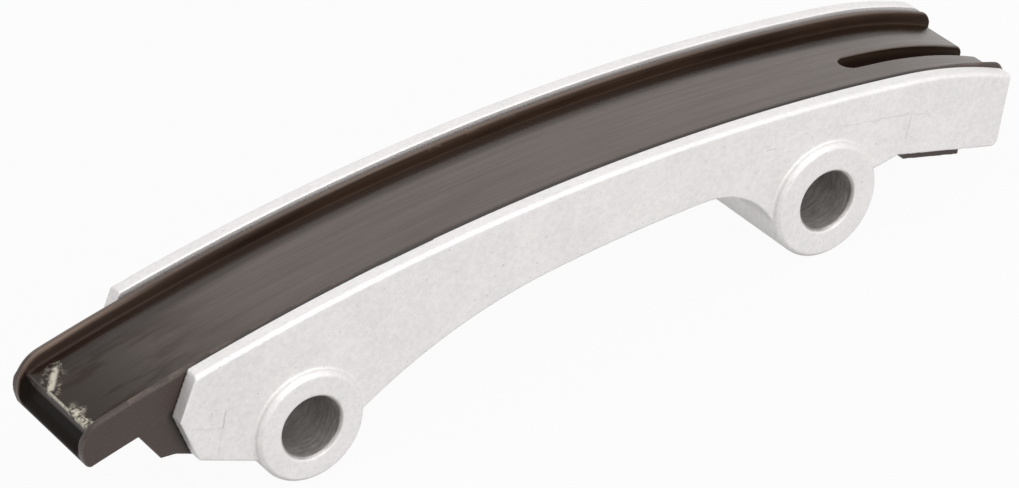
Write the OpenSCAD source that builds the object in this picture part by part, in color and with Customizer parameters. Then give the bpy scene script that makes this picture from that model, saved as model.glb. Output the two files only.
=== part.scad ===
// Timing chain guide: a die-cast carrier with a moulded slipper clipped into its curved channel.
// X runs from the left bore to the right bore, Y across the guide towards the rail, Z up to the chain.
// The origin is the middle of the left bore.

/* [Bores and bosses] */
// Distance between the two bores
bore_spacing = 80.7; // [74:0.1:88]
// Diameter of both bores, for an M8 bolt
bore_d = 8.5; // [6.5:0.1:9.5]
// Bevel at each mouth of the bores
bore_bevel = 0.4; // [0.2:0.1:0.8]
// Outer diameter of the left boss
boss_left_d = 15.5; // [13.5:0.1:18]
// Outer diameter of the right boss
boss_right_d = 16.6; // [13.5:0.1:18]
// Height of the boss faces above the carrier's sides
boss_proud = 1.1; // [0.4:0.1:1.6]
// Bevel round each boss face
boss_bevel = 0.5; // [0.2:0.1:0.9]

/* [Guide arc] */
// Radius of the arc along the top of the near wall
arc_r = 320; // [280:1:380]
// Height of the arc's crown above the bores
crown_z = 17.7; // [16:0.1:22]
// Distance of the crown from the left bore
crown_x = 36; // [32:0.5:42]
// Radius of the run-down at the right end
exit_r = 67; // [50:1:100]
// Length of the run-down at the right end
exit_length = 17.5; // [12:0.5:24]

/* [Carrier] */
// Width of the carrier over both walls
carrier_w = 22; // [19:0.1:26]
// Thickness of each wall
wall_t = 2.2; // [1.6:0.1:3]
// Height of the far wall's top above the near wall's top
far_wall_rise = 1.4; // [0:0.1:2]
// Rounding along the outer top edge of each wall
wall_round = 0.6; // [0.3:0.1:1.2]
// Distance from the left bore to the walls' top left corner
left_reach = 14.6; // [13:0.1:18]
// Distance that the walls' left point stands out beyond that corner
point_reach = 3.8; // [2.5:0.1:5]
// Depth of that point below the top edge
point_depth = 5.1; // [4:0.1:7]
// Distance that the walls' lower left corner stands out
foot_reach = 3; // [1:0.1:3.5]
// Depth of the lower left corner below the top edge
foot_depth = 11.8; // [11:0.1:13]
// Distance from the underside of the left boss up to the sole line
sole_inset = 1.9; // [1:0.1:3]
// Distance from the right bore to the right end face
right_reach = 32.8; // [30:0.1:36]
// Depth of the right end face below the arc
end_depth = 12.5; // [11.5:0.1:14]
// Distance from the right bore to the notch beside the right boss
notch_reach = 14.8; // [13:0.1:17]
// Depth of that notch below the arc
notch_depth = 10.8; // [10:0.1:11.4]
// Rounding of the lower corner at each end of the walls
corner_round = 1.1; // [0.5:0.1:1.6]

/* [Arch under the carrier] */
// Distance from the right bore back to the arch's crown
arch_back = 28.2; // [24:0.1:32]
// Height of the carrier above the arch's crown
arch_depth = 9.9; // [9:0.1:11]
// Radius of the arch over its crown
arch_crown_r = 243; // [180:1:320]
// Radius of the arch down to the left boss
arch_left_r = 73; // [60:1:90]
// Distance from the crown left to where that radius starts
arch_left_run = 15.1; // [10:0.1:20]
// Radius of the arch down to the right boss
arch_right_r = 12.6; // [10:0.1:16]
// Distance from the crown right to where that radius starts
arch_right_run = 8.8; // [6:0.1:11]

/* [Slipper] */
// Clearance between the slipper and the carrier
clearance = 0.1; // [0.05:0.05:0.3]
// Depth of the running surface below the top of the near wall
run_depth = 0.6; // [0.3:0.1:1.2]
// Thickness of the slipper under the running surface
slipper_t = 4.8; // [4.2:0.1:5.6]
// Height of the rail above the running surface
rail_h = 1.65; // [1:0.05:2.6]
// Thickness of the rail
rail_t = 1.5; // [1:0.1:2]
// Height of the bead above the running surface
bead_h = 0.6; // [0.3:0.05:1]
// Thickness of the bead
bead_t = 1.1; // [0.8:0.1:1.6]
// Height that the bead gains at its right end
bead_gain = 0.8; // [0.3:0.1:1.2]
// Length over which the bead gains that height
bead_ramp = 11; // [6:0.5:14]
// Distance from the left bore to the front of the nose
nose_reach = 30.7; // [29.5:0.1:34]
// Depth of the nose's front edge below the top of the near wall
nose_depth = 3.8; // [3:0.1:4]
// Distance from the front of the nose back to the break in the running surface
nose_break = 2.2; // [1.2:0.1:3.4]
// Rounding under the front of the nose
nose_round = 0.9; // [0.4:0.1:1.1]
// Distance that the slipper's right end stands out beyond the carrier's end face
end_overhang = 0.6; // [-1:0.1:1.6]
// Rounding at the top of the slipper's right end
end_round = 1.5; // [0.6:0.1:2]

/* [Hook at the left end] */
// Distance from the left bore to the front of the hook, at the slipper's underside
hook_front = 22.2; // [20.5:0.1:25]
// Distance from the left bore to the hook's toe
hook_toe = 19.6; // [18.8:0.1:20.4]
// Depth of the toe below the slipper's underside
toe_drop = 4.8; // [4:0.1:5.4]
// Distance from the left bore to the end of the carrier's floor
floor_end = 14.4; // [13.5:0.1:15.5]
// Thickness of the floor where the hook grips it
floor_lip = 3; // [2:0.1:3.6]
// Length of the hook's grip under the floor
hook_grip = 4; // [2.5:0.1:5]
// Distance that the hook stands out below the walls' sole line
hook_proud = 0.3; // [0:0.1:0.8]

/* [Fork and clips at the right end] */
// Length of the slot from the slipper's right end
slot_length = 23; // [18:0.5:26]
// Width of the slot
slot_w = 3.3; // [2:0.1:4]
// Distance of the slot from the middle of the guide
slot_offset = 1.7; // [0:0.1:2.2]
// Distance from the right bore to the clips
clip_reach = 14.8; // [13.5:0.1:17]
// Length of each clip's leg along the guide
clip_leg = 6.2; // [4:0.1:7]
// Width of each clip's leg
clip_w = 4.6; // [3:0.1:5]
// Length of each clip's foot along the guide
clip_foot = 10.6; // [8:0.1:11]
// Thickness of each clip's foot
clip_foot_t = 1.9; // [1.2:0.1:3]
// Distance that the near foot spreads out towards the wall
clip_spread = 0.4; // [0:0.1:1.4]
// Slant at both ends of each foot
clip_slant = 0.6; // [0.2:0.1:1]

/* [Hidden] */
// Steps in a full circle, fine enough for the long arcs
$fn = 256;

half_w = carrier_w / 2;
channel_half = half_w - wall_t;
slipper_half = channel_half - clearance;
boss_half = half_w + boss_proud;
// Levels are heights above the near wall's top edge, square to the arc
run_level = -run_depth;
under_level = run_level - slipper_t;
seat_level = under_level - clearance;
rail_level = run_level + rail_h;
bead_level = run_level + bead_h;
// Room for cutting shapes beyond the faces that they cut
spare = 6;
// Depth to which the swept sections reach, past the soles of both bosses
ring_depth = 26;
// Size of a rounding's circle against the rounding itself, so that it crosses the edges at a faint break
round_fullness = 1.03;
// Reach of the shape that takes off a corner, against the rounding
round_reach = 1.5;

arc_centre = [crown_x, crown_z - arc_r];
end_angle = angle_at(bore_spacing + right_reach);
exit_angle = end_angle - turn(exit_length);
exit_sweep = 45;
left_angle = angle_at(-left_reach);
nose_angle = angle_at(-nose_reach);
sweep_start = nose_angle - turn(2 * spare);
stop_angle = end_angle + turn(end_overhang);
exit_centre = on_arc(exit_angle, -exit_r);

left_corner = on_arc(left_angle, 0);
left_point = on_arc(left_angle - turn(point_reach), -point_depth);
left_foot = on_arc(left_angle - turn(foot_reach), -foot_depth);
left_sole = [0, sole_inset - boss_left_d / 2];
notch = on_arc(angle_at(bore_spacing + notch_reach), -notch_depth);
end_corner = on_arc(end_angle, -end_depth);

arch_crown_x = bore_spacing - arch_back;
arch_crown = [arch_crown_x, height_at(arch_crown_x, -arch_depth)];
arch_centre = arch_crown - [0, arch_crown_r];

clip_x = bore_spacing + clip_reach;
// Middle of each clip across the guide, one for each prong of the fork
clip_middles = [
    -(slipper_half + slot_offset + slot_w / 2) / 2,
    (slipper_half - slot_offset + slot_w / 2) / 2,
];
// Edges of the running surface across the guide
run_near = bead_t - slipper_half;
run_far = slipper_half - rail_t;

// Direction from the arc's centre, at an angle from the crown towards +X
function heading(angle) = [sin(angle), cos(angle)];
// Angle that a length along the arc covers
function turn(length) = length / arc_r * 180 / PI;
// Angle of the point of the near wall's top edge that has this x
function angle_at(x) = asin((x - crown_x) / arc_r);
// Point at an angle and a level
function on_arc(angle, level) = arc_centre + (arc_r + level) * heading(angle);
// Height of a level at an x
function height_at(x, level) = arc_centre[1] + sqrt(pow(arc_r + level, 2) - pow(x - crown_x, 2));
// Height at x of the straight line through two points
function line_z(a, b, x) = a[1] + (x - a[0]) * (b[1] - a[1]) / (b[0] - a[0]);
// Direction from one point to another
function toward(a, b) = (b - a) / norm(b - a);
// Point at a run to the right of the arch's crown, on a circle about the centre of the crown arc
function arch_point(run, r) = arch_centre + r * [run, sqrt(pow(arch_crown_r, 2) - run * run)] / arch_crown_r;
// Distance along a line from its point to a circle about the origin
function reach(point, way, r) = sqrt(pow(point * way, 2) - point * point + r * r) - point * way;
// Point of the slipper's right end at a level of the run-down
function stop_point(level) =
    arc_centre + reach(arc_centre - exit_centre, heading(stop_angle), exit_r + level) * heading(stop_angle);

// A side view drawn in X and Z, made solid from y0 to y1
module across(y0, y1) {
    translate([0, y1, 0])
        rotate([90, 0, 0])
            linear_extrude(y1 - y0)
                children();
}

// What is taken off a side view to round the corner between two edges
module round_off(before, corner, after, r) {
    u = toward(corner, before);
    v = toward(corner, after);
    half = acos(u * v) / 2;
    centre = corner + r / sin(half) * (u + v) / norm(u + v);
    foot = r / tan(half);
    difference() {
        polygon([
            centre,
            for (p = [corner + foot * u, corner, corner + foot * v])
                centre + round_reach * (p - centre),
        ]);
        translate(centre) circle(r * round_fullness);
    }
}

// A section drawn in level and Y, swept to the right over an arc that starts level at x = 0
module sweep(r, angle) {
    translate([0, 0, -r])
        rotate([-90, 0, 0])
            rotate([0, 0, -90])
                rotate_extrude(angle = angle)
                    translate([r, 0])
                        children();
}

// A section swept along the whole guide, from the plane where the long arc turns into the run-down
module along_guide() {
    seam = on_arc(exit_angle, 0);
    translate([seam[0], 0, seam[1]])
        rotate([0, exit_angle, 0]) {
            mirror([1, 0, 0]) sweep(arc_r, exit_angle - sweep_start) children();
            sweep(exit_r, exit_sweep) children();
        }
}

// Section of an upright wall between two widths, with its top edge rounded on the side of y1
module wall_section(y0, y1, top, r) {
    side = sign(y1 - y0);
    translate([-ring_depth, min(y0, y1)]) square([top - r + ring_depth, abs(y1 - y0)]);
    translate([-ring_depth, min(y0, y1 - side * r)]) square([top + ring_depth, abs(y1 - y0) - r]);
    translate([top - r, y1 - side * r]) circle(r);
}

module channel_section() {
    wall_section(-channel_half, -half_w, 0, wall_round);
    wall_section(channel_half, half_w, far_wall_rise, wall_round);
    translate([-ring_depth, -half_w]) square([ring_depth + seat_level, carrier_w]);
}

// Side view of the carrier without its bosses, left open above the top edge
module carrier_outline() {
    end_top = on_arc(end_angle, spare);
    difference() {
        polygon([
            2 * left_corner - left_point,
            left_point,
            left_foot,
            left_sole,
            [bore_spacing, 0],
            notch,
            end_corner,
            end_top,
            on_arc(0, 2 * spare),
        ]);
        arch();
        round_off(left_point, left_foot, left_sole, corner_round);
        round_off(notch, end_corner, end_top, corner_round);
    }
}

// Space under the carrier: three arcs that run into each other
module arch() {
    left_x = arch_crown_x - arch_left_run;
    right_x = arch_crown_x + arch_right_run;
    arch_part(-arch_left_run, arch_left_r, 0, left_x);
    arch_part(0, arch_crown_r, left_x, right_x);
    arch_part(arch_right_run, arch_right_r, right_x, bore_spacing);
}

// One arc of the arch between two values of x, run at this distance from the crown into the crown's arc
module arch_part(run, r, x0, x1) {
    intersection() {
        translate(arch_point(run, arch_crown_r - r)) circle(r);
        translate([x0, -2 * ring_depth]) square([x1 - x0, 4 * ring_depth]);
    }
}

module boss(x, d) {
    r = d / 2;
    translate([x, 0, 0])
        rotate([90, 0, 0])
            rotate_extrude()
                polygon([
                    [0, -boss_half],
                    [r - boss_bevel, -boss_half],
                    [r, boss_bevel - boss_half],
                    [r, boss_half - boss_bevel],
                    [r - boss_bevel, boss_half],
                    [0, boss_half],
                ]);
}

module bore(x) {
    translate([x, 0, 0])
        rotate([90, 0, 0]) {
            cylinder(d = bore_d, h = carrier_w + 2 * spare, center = true);
            for (face = [-1, 1])
                translate([0, 0, face * (boss_half - bore_bevel / 2)])
                    cylinder(
                        d1 = bore_d + bore_bevel * (1 - 2 * face),
                        d2 = bore_d + bore_bevel * (1 + 2 * face),
                        h = 2 * bore_bevel,
                        center = true
                    );
        }
}

// Room between the walls for the hook, with the floor left as a lip above its grip
module hook_room() {
    end_x = hook_grip - floor_end + clearance;
    lip_level = seat_level - floor_lip;
    across(-channel_half, channel_half)
        polygon([
            [-floor_end, height_at(-floor_end, spare)],
            [-floor_end, height_at(-floor_end, lip_level)],
            [end_x, height_at(end_x, lip_level)],
            [end_x, -ring_depth],
            [-nose_reach, -ring_depth],
            [-nose_reach, height_at(-nose_reach, spare)],
        ]);
}

module clip_windows() {
    for (y = clip_middles)
        translate([clip_x - clearance, y - clip_w / 2 - clearance, -ring_depth])
            cube([clip_leg + 2 * clearance, clip_w + 2 * clearance, 2 * ring_depth]);
}

module carrier() {
    color("gainsboro")
        difference() {
            union() {
                intersection() {
                    along_guide() channel_section();
                    across(-carrier_w, carrier_w) carrier_outline();
                }
                boss(0, boss_left_d);
                boss(bore_spacing, boss_right_d);
            }
            bore(0);
            bore(bore_spacing);
            hook_room();
            clip_windows();
        }
}

// Section of a strip that stands up from the slipper, with a round top
module strip_section(middle, t, top) {
    translate([under_level, middle - t / 2]) square([top - t / 2 - under_level, t]);
    translate([top - t / 2, middle]) circle(t / 2);
}

// Section of the slipper: the rail and the bead stand along the edges of the running surface
module slipper_section() {
    translate([under_level, -slipper_half]) square([slipper_t, 2 * slipper_half]);
    strip_section(run_far + rail_t / 2, rail_t, rail_level);
    strip_section(run_near - bead_t / 2, bead_t, bead_level);
}

// Side view drawn from the front of the nose: X back along the guide, Y in levels
module at_nose() {
    translate(on_arc(nose_angle, 0))
        rotate(-nose_angle)
            children();
}

// Side view of the slipper with a nose that rounds over from its front edge up to this level
module nose_side(top) {
    r = top + nose_depth;
    intersection() {
        translate([r, -nose_depth]) circle(r);
        translate([0, -nose_depth]) square([r, r]);
    }
    translate([r, -nose_depth]) square([2 * spare, nose_depth + spare]);
    difference() {
        translate([0, -ring_depth]) square([r + 2 * spare, ring_depth - nose_depth]);
        round_off([0, -nose_depth], [0, under_level], [r, under_level], nose_round);
    }
}

module slipper_outline() {
    at_nose() nose_side(rail_level);
    difference() {
        polygon([
            on_arc(nose_angle + turn(2 * spare), -ring_depth),
            on_arc(nose_angle + turn(2 * spare), spare),
            on_arc(0, 2 * spare),
            on_arc(stop_angle, spare),
            on_arc(stop_angle, -ring_depth),
            on_arc(0, -ring_depth),
        ]);
        end_corner_cut(rail_level);
    }
}

// What is taken off to round the right end at a level
module end_corner_cut(level) {
    corner = stop_point(level);
    up = toward(exit_centre, corner);
    round_off(corner - heading(stop_angle), corner, corner + [-up[1], up[0]], end_round);
}

// What is taken off beside the rail, so that the bead and the running surface have ends of their own
module end_cuts() {
    across(-half_w, run_far) {
        at_nose()
            difference() {
                translate([-spare, -nose_depth]) square([spare + bead_level + nose_depth, 2 * spare]);
                nose_side(bead_level);
            }
        end_corner_cut(bead_level + bead_gain);
    }
    across(run_near, run_far) {
        at_nose()
            polygon([
                [2 * nose_break, nose_depth - 2 * run_depth],
                [-nose_break, run_depth - 2 * nose_depth],
                [-nose_break, nose_depth - 2 * run_depth],
            ]);
        end_corner_cut(run_level);
    }
}

// Ramp that raises the bead at the right end
module bead_end() {
    start_x = stop_point(0)[0] - bead_ramp;
    start_z = exit_centre[1] + sqrt(pow(exit_r, 2) - pow(start_x - exit_centre[0], 2));
    across(-slipper_half, run_near)
        polygon([
            [start_x, start_z - slipper_t / 2],
            [start_x, start_z + run_level],
            stop_point(bead_level + bead_gain),
            stop_point(-slipper_t / 2),
        ]);
}

module hook() {
    toe_level = under_level - toe_drop;
    end_x = hook_grip - floor_end;
    grip_level = seat_level - floor_lip - clearance;
    inside_level = under_level + slipper_t / 2;
    stop_x = -floor_end - clearance;
    across(-slipper_half, slipper_half)
        polygon([
            [-hook_front, height_at(-hook_front, inside_level)],
            [-hook_front, height_at(-hook_front, under_level)],
            [-hook_toe, height_at(-hook_toe, toe_level)],
            [left_point[0], line_z(left_foot, left_sole, left_point[0]) - hook_proud],
            [end_x, line_z(left_foot, left_sole, end_x) - hook_proud],
            [end_x, height_at(end_x, grip_level)],
            [stop_x, height_at(stop_x, grip_level)],
            [stop_x, height_at(stop_x, inside_level)],
        ]);
}

module clip(y) {
    top_z = height_at(clip_x + clip_leg, under_level + slipper_t / 2) - slipper_t / 4;
    foot_end = clip_x + clip_foot;
    leg_end = clip_x + clip_leg;
    outward = sign(y);
    across(y - clip_w / 2, y + clip_w / 2)
        polygon([
            [clip_x, top_z],
            [clip_x, line_z(notch, end_corner, clip_x) - clearance - clip_foot_t / 2],
            [leg_end, line_z(notch, end_corner, leg_end) - clearance - clip_foot_t / 2],
            [leg_end, top_z],
        ]);
    across(y - clip_w / 2 + min(0, outward * clip_spread), y + clip_w / 2 + max(0, outward * clip_spread))
        polygon([
            [clip_x, line_z(notch, end_corner, clip_x) - clearance],
            [clip_x + clip_slant, line_z(notch, end_corner, clip_x + clip_slant) - clearance - clip_foot_t],
            [
                foot_end - clip_slant,
                line_z(notch, end_corner, foot_end - clip_slant) - clearance - clip_foot_t,
            ],
            [foot_end, line_z(notch, end_corner, foot_end) - clearance],
        ]);
}

// Slot that splits the right end into two prongs
module fork_slot() {
    start_x = bore_spacing + right_reach + end_overhang - slot_length;
    translate([start_x + slot_w / 2, -slot_offset, 0]) {
        cylinder(d = slot_w, h = 4 * ring_depth, center = true);
        translate([0, -slot_w / 2, -2 * ring_depth]) cube([slot_length + spare, slot_w, 4 * ring_depth]);
    }
}

module slipper() {
    color("#4a403a")
        difference() {
            union() {
                intersection() {
                    along_guide() slipper_section();
                    across(-half_w, half_w) slipper_outline();
                }
                bead_end();
                hook();
                for (y = clip_middles)
                    clip(y);
            }
            end_cuts();
            fork_slot();
        }
}

carrier();
slipper();
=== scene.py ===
"""Timing chain guide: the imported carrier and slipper, dressed, lit and seen as in the photograph."""

import logging
import math
from dataclasses import dataclass, field
from enum import Enum
from functools import reduce
from typing import Callable, Dict, List, Optional, Sequence, Tuple, Union

import bpy
import numpy as np
from mathutils import Matrix, Vector


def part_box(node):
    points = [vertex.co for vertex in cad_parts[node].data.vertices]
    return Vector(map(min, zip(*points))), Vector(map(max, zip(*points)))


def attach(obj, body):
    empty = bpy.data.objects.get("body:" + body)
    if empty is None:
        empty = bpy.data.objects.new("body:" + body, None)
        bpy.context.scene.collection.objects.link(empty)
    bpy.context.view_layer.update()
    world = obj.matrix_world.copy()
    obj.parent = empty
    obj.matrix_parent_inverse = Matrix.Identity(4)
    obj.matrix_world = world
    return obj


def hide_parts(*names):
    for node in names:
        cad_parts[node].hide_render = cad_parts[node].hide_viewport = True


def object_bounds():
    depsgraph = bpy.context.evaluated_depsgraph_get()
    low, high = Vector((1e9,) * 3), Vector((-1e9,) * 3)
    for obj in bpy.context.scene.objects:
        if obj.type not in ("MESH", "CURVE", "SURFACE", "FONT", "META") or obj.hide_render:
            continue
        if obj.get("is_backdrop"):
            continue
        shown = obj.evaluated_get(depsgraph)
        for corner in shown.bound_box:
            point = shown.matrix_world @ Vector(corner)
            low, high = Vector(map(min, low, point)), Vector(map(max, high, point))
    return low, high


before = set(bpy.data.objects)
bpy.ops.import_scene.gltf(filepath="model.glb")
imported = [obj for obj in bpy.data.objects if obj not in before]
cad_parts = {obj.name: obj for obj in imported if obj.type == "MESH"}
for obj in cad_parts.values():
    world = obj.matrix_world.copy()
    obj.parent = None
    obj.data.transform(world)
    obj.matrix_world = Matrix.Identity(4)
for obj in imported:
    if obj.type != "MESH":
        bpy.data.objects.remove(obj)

log = logging.getLogger("chain_guide")

MM = 0.001
BODY = "root"
GUIDE_SPACE = "guide_space"
EDGE_NOTE = "edge_note"
PLAIN_WHITE = (1.0, 1.0, 1.0, 1.0)
Colour = Tuple[float, float, float]
Pair = Tuple[float, float]
Socket = bpy.types.NodeSocket
Feeds = Dict[Union[int, str], object]
Carving = Callable[[np.ndarray], np.ndarray]


class Sum(Enum):
    """Sums that a material works out from its masks."""

    ADD = "ADD"
    TAKE = "SUBTRACT"
    TIMES = "MULTIPLY"
    MOST = "MAXIMUM"


class Side(Enum):
    """Directions in which a lamp's panel may stand from the guide."""

    ABOVE = (0.1, -0.25, 1.0)
    FRONT = (0.2, -1.0, 0.55)


@dataclass(frozen=True)
class GuideCurve:
    """The curve that the chain runs on, in millimetres: a long arc that turns into a tighter run-down.

    Attributes:
        arc_r: Radius of the long arc, at the top of the near wall.
        centre_x: Distance of its centre from the left bore, along the guide.
        centre_z: Height of its centre over the bores.
        exit_r: Radius of the run-down.
        exit_angle: Angle from the crown at which the run-down starts, in radians.
    """

    arc_r: float = 320.0
    centre_x: float = 36.0
    centre_z: float = 17.7 - 320.0
    exit_r: float = 67.0
    exit_angle: float = math.asin((80.7 + 32.8 - 36.0) / 320.0) - 17.5 / 320.0

    def place(self, points: np.ndarray) -> np.ndarray:
        """Gives each point its run along the curve, its place across it and its level over it.

        Args:
            points: Points of the part in metres, one per row.

        Returns:
            The run, the place across and the level of each point, in millimetres, one point per row.
        """
        x, y, z = (points / MM).T
        angle = np.arctan2(x - self.centre_x, z - self.centre_z)
        level = np.hypot(x - self.centre_x, z - self.centre_z) - self.arc_r
        along = angle * self.arc_r
        step = self.arc_r - self.exit_r
        exit_x = self.centre_x + step * math.sin(self.exit_angle)
        exit_z = self.centre_z + step * math.cos(self.exit_angle)
        exit_turn = np.arctan2(x - exit_x, z - exit_z)
        beyond = angle > self.exit_angle
        level = np.where(beyond, np.hypot(x - exit_x, z - exit_z) - self.exit_r, level)
        run = self.exit_angle * self.arc_r + (exit_turn - self.exit_angle) * self.exit_r
        return np.stack([np.where(beyond, run, along), y, level], axis=1)

    def bend(self, places: np.ndarray) -> np.ndarray:
        """Takes points from the curve's own measures back to the part's frame.

        Args:
            places: The run, the place across and the level of each point, in millimetres, one point per row.

        Returns:
            The points in metres, one per row.
        """
        along, across, level = places.T
        split = self.exit_angle * self.arc_r
        beyond = along > split
        step = self.arc_r - self.exit_r
        turn = np.where(beyond, self.exit_angle + (along - split) / self.exit_r, along / self.arc_r)
        reach = np.where(beyond, self.exit_r, self.arc_r) + level
        x = self.centre_x + np.where(beyond, step * math.sin(self.exit_angle), 0.0) + reach * np.sin(turn)
        z = self.centre_z + np.where(beyond, step * math.cos(self.exit_angle), 0.0) + reach * np.cos(turn)
        return np.stack([x, across, z], axis=1) * MM


class Board:
    """The nodes of a material or of the surroundings, with short calls that add nodes and give an output."""

    def __init__(self, owner: Union[bpy.types.Material, bpy.types.World]) -> None:
        """Clears the nodes of their owner.

        Args:
            owner: The material or the surroundings that the nodes belong to.
        """
        self.owner = owner
        owner.use_nodes = True
        self.tree = owner.node_tree
        self.tree.nodes.clear()

    @classmethod
    def material(cls, name: str) -> "Board":
        """Starts an empty material of this name."""
        return cls(bpy.data.materials.new(name))

    def add(self, kind: str, feeds: Optional[Feeds] = None, **settings: object) -> Sequence[Socket]:
        """Adds a node.

        Args:
            kind: Blender's name for the kind of node.
            feeds: What its inputs get, by name or number: an output of another node, or a constant.
            settings: Settings of the node by name.

        Returns:
            The outputs of the node.
        """
        node = self.tree.nodes.new(kind)
        for name, value in settings.items():
            setattr(node, name, value)
        for key, source in (feeds or {}).items():
            if isinstance(source, bpy.types.NodeSocket):
                self.tree.links.new(source, node.inputs[key])
            else:
                node.inputs[key].default_value = source
        return node.outputs

    def sum(self, kind: Sum, a: object, b: object) -> Socket:
        """Joins two numbers, or outputs that give them, by a sum."""
        return self.add("ShaderNodeMath", {0: a, 1: b}, operation=kind.value)[0]

    def ramp(self, value: Socket, low: float, high: float, start: float = 0.0, end: float = 1.0) -> Socket:
        """Turns a value into a soft step: a start below its low end and an end above its high end."""
        feeds = {"Value": value, "From Min": low, "From Max": high, "To Min": start, "To Max": end}
        return self.add("ShaderNodeMapRange", feeds, interpolation_type="SMOOTHSTEP")["Result"]

    def below(self, value: Socket, low: float, high: float) -> Socket:
        """Gives 1 below a soft step of a value and 0 above it."""
        return self.ramp(value, low, high, 1.0, 0.0)

    def band(self, value: Socket, middle: float, half: float, soft: float) -> Socket:
        """Gives 1 within half a band's width of its middle and 0 beyond its soft edge."""
        away = self.add("ShaderNodeMath", {0: self.sum(Sum.TAKE, value, middle)}, operation="ABSOLUTE")[0]
        return self.below(away, half, half + soft)

    def vectors(self, kind: str, a: object, b: object, output: str = "Vector") -> Socket:
        """Joins two vectors, or outputs that give them, by one of Blender's sums for vectors."""
        return self.add("ShaderNodeVectorMath", {0: a, 1: b}, operation=kind)[output]

    def stretch(self, vector: Socket, by: Sequence[float]) -> Socket:
        """Multiplies the three parts of a vector."""
        return self.vectors("MULTIPLY", vector, tuple(by))

    def split(self, vector: Socket) -> Sequence[Socket]:
        """Gives the three parts of a vector."""
        return self.add("ShaderNodeSeparateXYZ", {0: vector})

    def flat(self, x: Socket, y: Socket) -> Socket:
        """Makes a place on a plane from its two parts."""
        return self.add("ShaderNodeCombineXYZ", {0: x, 1: y})[0]

    def line(self, place: Socket, start: Pair, end: Pair, half: float) -> Socket:
        """Gives 1 on a straight line on a plane and 0 away from it.

        Args:
            place: Where the line is read, in the measures of its ends.
            start: One end.
            end: The other end.
            half: Half the line's width.

        Returns:
            The line's mask.
        """
        way = Vector((*end, 0.0)) - Vector((*start, 0.0))
        away = self.vectors("SUBTRACT", place, (*start, 0.0))
        share = self.vectors("DOT_PRODUCT", away, tuple(way / way.length_squared), "Value")
        share = self.add("ShaderNodeClamp", {"Value": share})[0]
        foot = self.add("ShaderNodeVectorMath", {0: tuple(way), "Scale": share}, operation="SCALE")[0]
        return self.below(self.vectors("DISTANCE", away, foot, "Value"), half * 0.4, half * 1.6)

    def pick(self, share: Socket, a: object, b: object) -> Socket:
        """Mixes two numbers, or outputs that give them, by the share of the second one."""
        return self.add("ShaderNodeMix", {"Factor": share, 2: a, 3: b}, data_type="FLOAT")[0]

    def blend(self, share: Socket, a: object, b: object) -> Socket:
        """Mixes two colours, or outputs that give them, by the share of the second one."""
        a, b = (c if isinstance(c, bpy.types.NodeSocket) else (*c, 1.0) for c in (a, b))
        return self.add("ShaderNodeMix", {"Factor": share, 6: a, 7: b}, data_type="RGBA")[2]

    def all_of(self, *masks: Socket) -> Socket:
        """Multiplies masks, so that the result is 1 only where all of them are."""
        return reduce(lambda a, b: self.sum(Sum.TIMES, a, b), masks)

    def any_of(self, *masks: Socket) -> Socket:
        """Gives the strongest of several masks at each place."""
        return reduce(lambda a, b: self.sum(Sum.MOST, a, b), masks)

    def note(self, name: str, output: str) -> Socket:
        """Gives what is noted on a piece's points under a name."""
        return self.add("ShaderNodeAttribute", attribute_name=name)[output]

    def noise(self, vector: Socket, scale: float, detail: float = 3.0, rough: float = 0.5) -> Socket:
        """Gives a cloud pattern around 0.5, by its fineness, its finer layers and their strength."""
        feeds = {"Vector": vector, "Scale": scale, "Detail": detail, "Roughness": rough}
        return self.add("ShaderNodeTexNoise", feeds, noise_dimensions="3D")["Fac"]

    def bump(self, height: Socket, depth: float, under: Optional[Socket] = None) -> Socket:
        """Turns a height into a shading normal.

        Args:
            height: The height, from 0 to 1.
            depth: What a height of 1 stands for, in metres.
            under: A normal that this one lies on.

        Returns:
            The normal.
        """
        feeds = {"Strength": 1.0, "Distance": depth, "Height": height}
        if under is not None:
            feeds["Normal"] = under
        return self.add("ShaderNodeBump", feeds)["Normal"]

    def seen_directly(self) -> Socket:
        """Gives 1 for what the camera sees, also in mirrors, and 0 for light on a surface."""
        path = self.add("ShaderNodeLightPath")
        return self.any_of(path["Is Glossy Ray"], path["Is Transmission Ray"], path["Is Camera Ray"])

    def finish(self, surface: Socket, output: str = "ShaderNodeOutputMaterial") -> bpy.types.ID:
        """Sets what the owner shows and gives the owner."""
        self.add(output, {"Surface": surface})
        return self.owner


@dataclass(frozen=True)
class GuidePlace:
    """Where a material is read, in the measures of the guide's curve.

    Attributes:
        whole: The place as one vector.
        along: Its run along the curve.
        across: Its place across the curve.
        level: Its level over the curve.
    """

    whole: Socket
    along: Socket
    across: Socket
    level: Socket

    @classmethod
    def on(cls, board: Board) -> "GuidePlace":
        """Reads the place from the note that lies over a piece's points."""
        whole = board.note(GUIDE_SPACE, "Vector")
        return cls(whole, *board.split(whole))


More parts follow.
